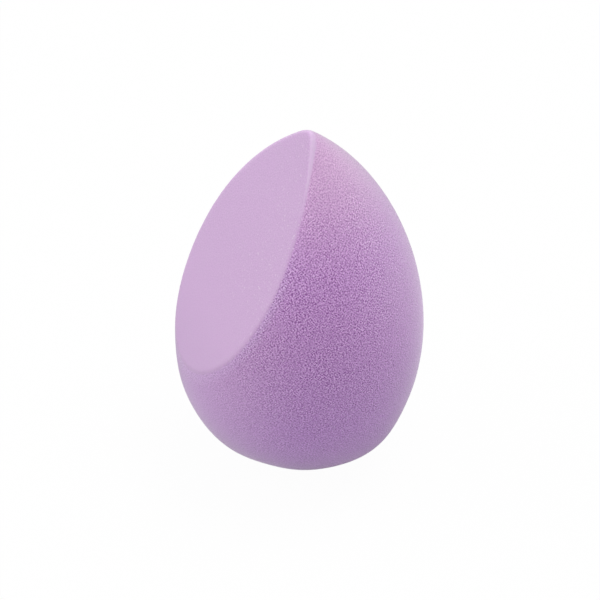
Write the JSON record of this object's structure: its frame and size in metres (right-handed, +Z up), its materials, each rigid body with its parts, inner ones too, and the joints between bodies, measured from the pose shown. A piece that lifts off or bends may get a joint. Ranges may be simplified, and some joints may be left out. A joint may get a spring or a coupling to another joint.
{
  "type": "makeup sponge",
  "caption": "Teardrop foam make-up sponge with a round base, a pointed tip and a flat slanted cut face for dabbing and blending make-up.",
  "frame": {"origin": "centre of the small flat foot that the sponge stands on, on the axis of the turned body", "axes": "+Z up along the axis to the tip, -Y towards the side with the flat cut, +X to the right of someone who faces the cut"},
  "size_m": [0.04, 0.04, 0.062],
  "materials": {
    "foam": "matte open-cell polyurethane foam, lilac, dyed through"
  },
  "bodies": {
    "root": {"foam_body": "foam"}
  },
  "joints": []
}
